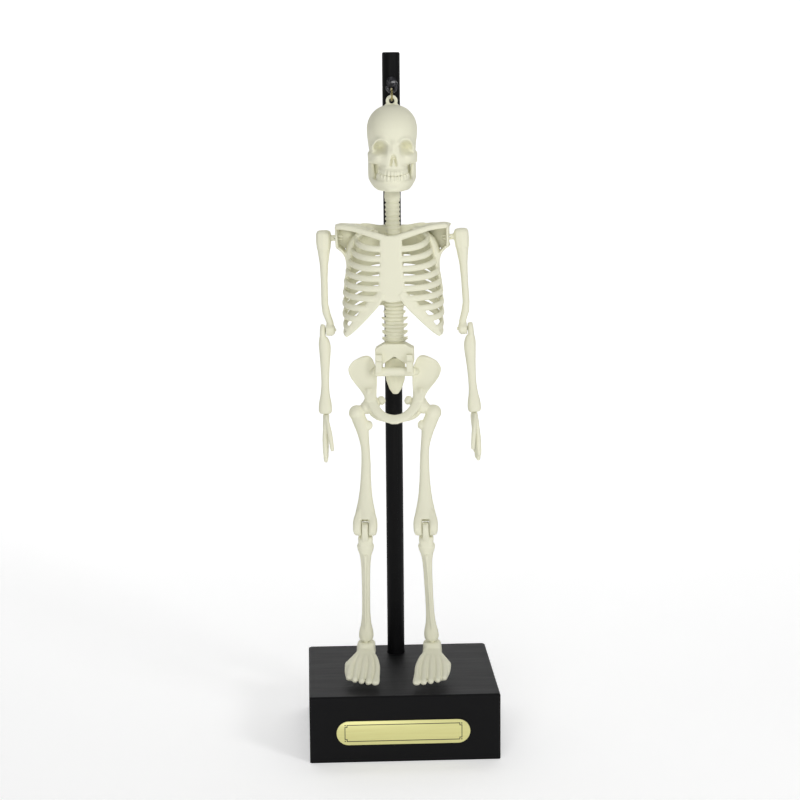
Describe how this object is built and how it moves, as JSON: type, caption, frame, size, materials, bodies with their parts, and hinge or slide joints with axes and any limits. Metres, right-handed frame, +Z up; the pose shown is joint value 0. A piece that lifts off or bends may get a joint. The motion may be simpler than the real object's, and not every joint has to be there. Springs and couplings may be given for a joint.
{
  "type": "human skeleton model",
  "caption": "Small jointed human skeleton in ivory plastic, hung by a brass ring from a hook on a black post that stands on a square black base with a blank plate.",
  "frame": {"origin": "centre of the underside of the stand's base", "axes": "+Z up, -Y to the front that the figure faces, +X to the figure's own left"},
  "size_m": [0.1, 0.0966, 0.367],
  "materials": {
    "bone_plastic": "semi-gloss moulded",
    "black_wood": "satin black paint",
    "black_steel": "black",
    "zinc_steel": "zinc plated",
    "brass": "polished",
    "gold_foil": "metallised foil, satin"
  },
  "bodies": {
    "stand": {"base": "black_wood", "post": "black_wood", "post_screw": "zinc_steel", "hook": "black_steel", "name_plate": "gold_foil"},
    "ring": {"hanging_ring": "brass"},
    "skull": {"skull_front": "bone_plastic", "skull_back": "bone_plastic"},
    "jaw": {"jaw": "bone_plastic"},
    "torso": {"spine": "bone_plastic", "rib_cage_front": "bone_plastic", "rib_cage_back": "bone_plastic"},
    "pelvis": {"pelvis": "bone_plastic"},
    "right_upper_arm": {"right_humerus": "bone_plastic"},
    "right_lower_arm": {"right_forearm": "bone_plastic"},
    "right_hand": {"right_hand": "bone_plastic"},
    "right_thigh": {"right_femur": "bone_plastic"},
    "right_shank": {"right_tibia": "bone_plastic"},
    "right_foot": {"right_foot": "bone_plastic"},
    "left_upper_arm": {"left_humerus": "bone_plastic"},
    "left_lower_arm": {"left_forearm": "bone_plastic"},
    "left_hand": {"left_hand": "bone_plastic"},
    "left_thigh": {"left_femur": "bone_plastic"},
    "left_shank": {"left_tibia": "bone_plastic"},
    "left_foot": {"left_foot": "bone_plastic"}
  },
  "joints": [
    {"name": "ring_swing", "type": "hinge", "parent": "stand", "child": "ring", "pos_m": [-0.0022, 0.001, 0.34622], "axis": [1, 0, 0], "range_deg": [-20, 3]},
    {"name": "figure_sway", "type": "hinge", "parent": "ring", "child": "skull", "pos_m": [-0.0022, 0.001, 0.34197], "axis": [0, 1, 0], "range_deg": [-4, 4]},
    {"name": "jaw_open", "type": "hinge", "parent": "skull", "child": "jaw", "pos_m": [-0.0022, 0.0032, 0.3116], "axis": [1, 0, 0], "range_deg": [0, 18]},
    {"name": "neck_turn", "type": "hinge", "parent": "skull", "child": "torso", "pos_m": [-0.0022, 0.006, 0.3], "axis": [0.0087, 0, -1], "range_deg": [-35, 35]},
    {"name": "pelvis_tilt", "type": "hinge", "parent": "torso", "child": "pelvis", "pos_m": [-0.00209, -0.00196, 0.1996], "axis": [0.9954, -0.0958, 0.0087], "range_deg": [-12, 2]},
    {"name": "right_shoulder_swing", "type": "hinge", "parent": "torso", "child": "right_upper_arm", "pos_m": [-0.03457, 0.00311, 0.27052], "axis": [0.9954, -0.0958, 0.0017], "range_deg": [-170, 50]},
    {"name": "right_elbow_bend", "type": "hinge", "parent": "right_upper_arm", "child": "right_lower_arm", "pos_m": [-0.03448, 0.00315, 0.22172], "axis": [0.9954, -0.0958, 0.0017], "range_deg": [-100, 4]},
    {"name": "right_wrist_bend", "type": "hinge", "parent": "right_lower_arm", "child": "right_hand", "pos_m": [-0.03864, -0.0001, 0.17987], "axis": [0.0956, 0.9917, -0.0863], "range_deg": [-15, 15]},
    {"name": "right_hip_swing", "type": "hinge", "parent": "pelvis", "child": "right_thigh", "pos_m": [-0.01695, -0.00152, 0.18057], "axis": [0.8984, -0.0869, 0.4305], "range_deg": [-60, 0]},
    {"name": "right_knee_bend", "type": "hinge", "parent": "right_thigh", "child": "right_shank", "pos_m": [-0.019, -0.01776, 0.11932], "axis": [0.9949, -0.1005, -0.0066], "range_deg": [-26, 75]},
    {"name": "right_ankle_bend", "type": "hinge", "parent": "right_shank", "child": "right_foot", "pos_m": [-0.01868, -0.00224, 0.05249], "axis": [0.9949, -0.1005, -0.0066], "range_deg": [-15, 2]},
    {"name": "left_shoulder_swing", "type": "hinge", "parent": "torso", "child": "left_upper_arm", "pos_m": [0.02953, -0.00306, 0.27108], "axis": [0.9928, -0.0957, 0.0715], "range_deg": [-170, 50]},
    {"name": "left_elbow_bend", "type": "hinge", "parent": "left_upper_arm", "child": "left_lower_arm", "pos_m": [0.033, -0.00335, 0.2224], "axis": [0.9928, -0.0957, 0.0715], "range_deg": [-100, 4]},
    {"name": "left_wrist_bend", "type": "hinge", "parent": "left_lower_arm", "child": "left_hand", "pos_m": [0.03951, -0.00762, 0.18094], "axis": [0.1017, 0.9911, -0.0861], "range_deg": [-15, 15]},
    {"name": "left_hip_swing", "type": "hinge", "parent": "pelvis", "child": "left_thigh", "pos_m": [0.01291, -0.0044, 0.18083], "axis": [0.9058, -0.0869, -0.4147], "range_deg": [-60, 0]},
    {"name": "left_knee_bend", "type": "hinge", "parent": "left_thigh", "child": "left_shank", "pos_m": [0.01288, -0.02083, 0.1196], "axis": [0.9956, -0.0911, 0.024], "range_deg": [-26, 75]},
    {"name": "left_ankle_bend", "type": "hinge", "parent": "left_shank", "child": "left_foot", "pos_m": [0.01668, -0.00564, 0.0528], "axis": [0.9956, -0.0911, 0.024], "range_deg": [-15, 2]}
  ]
}
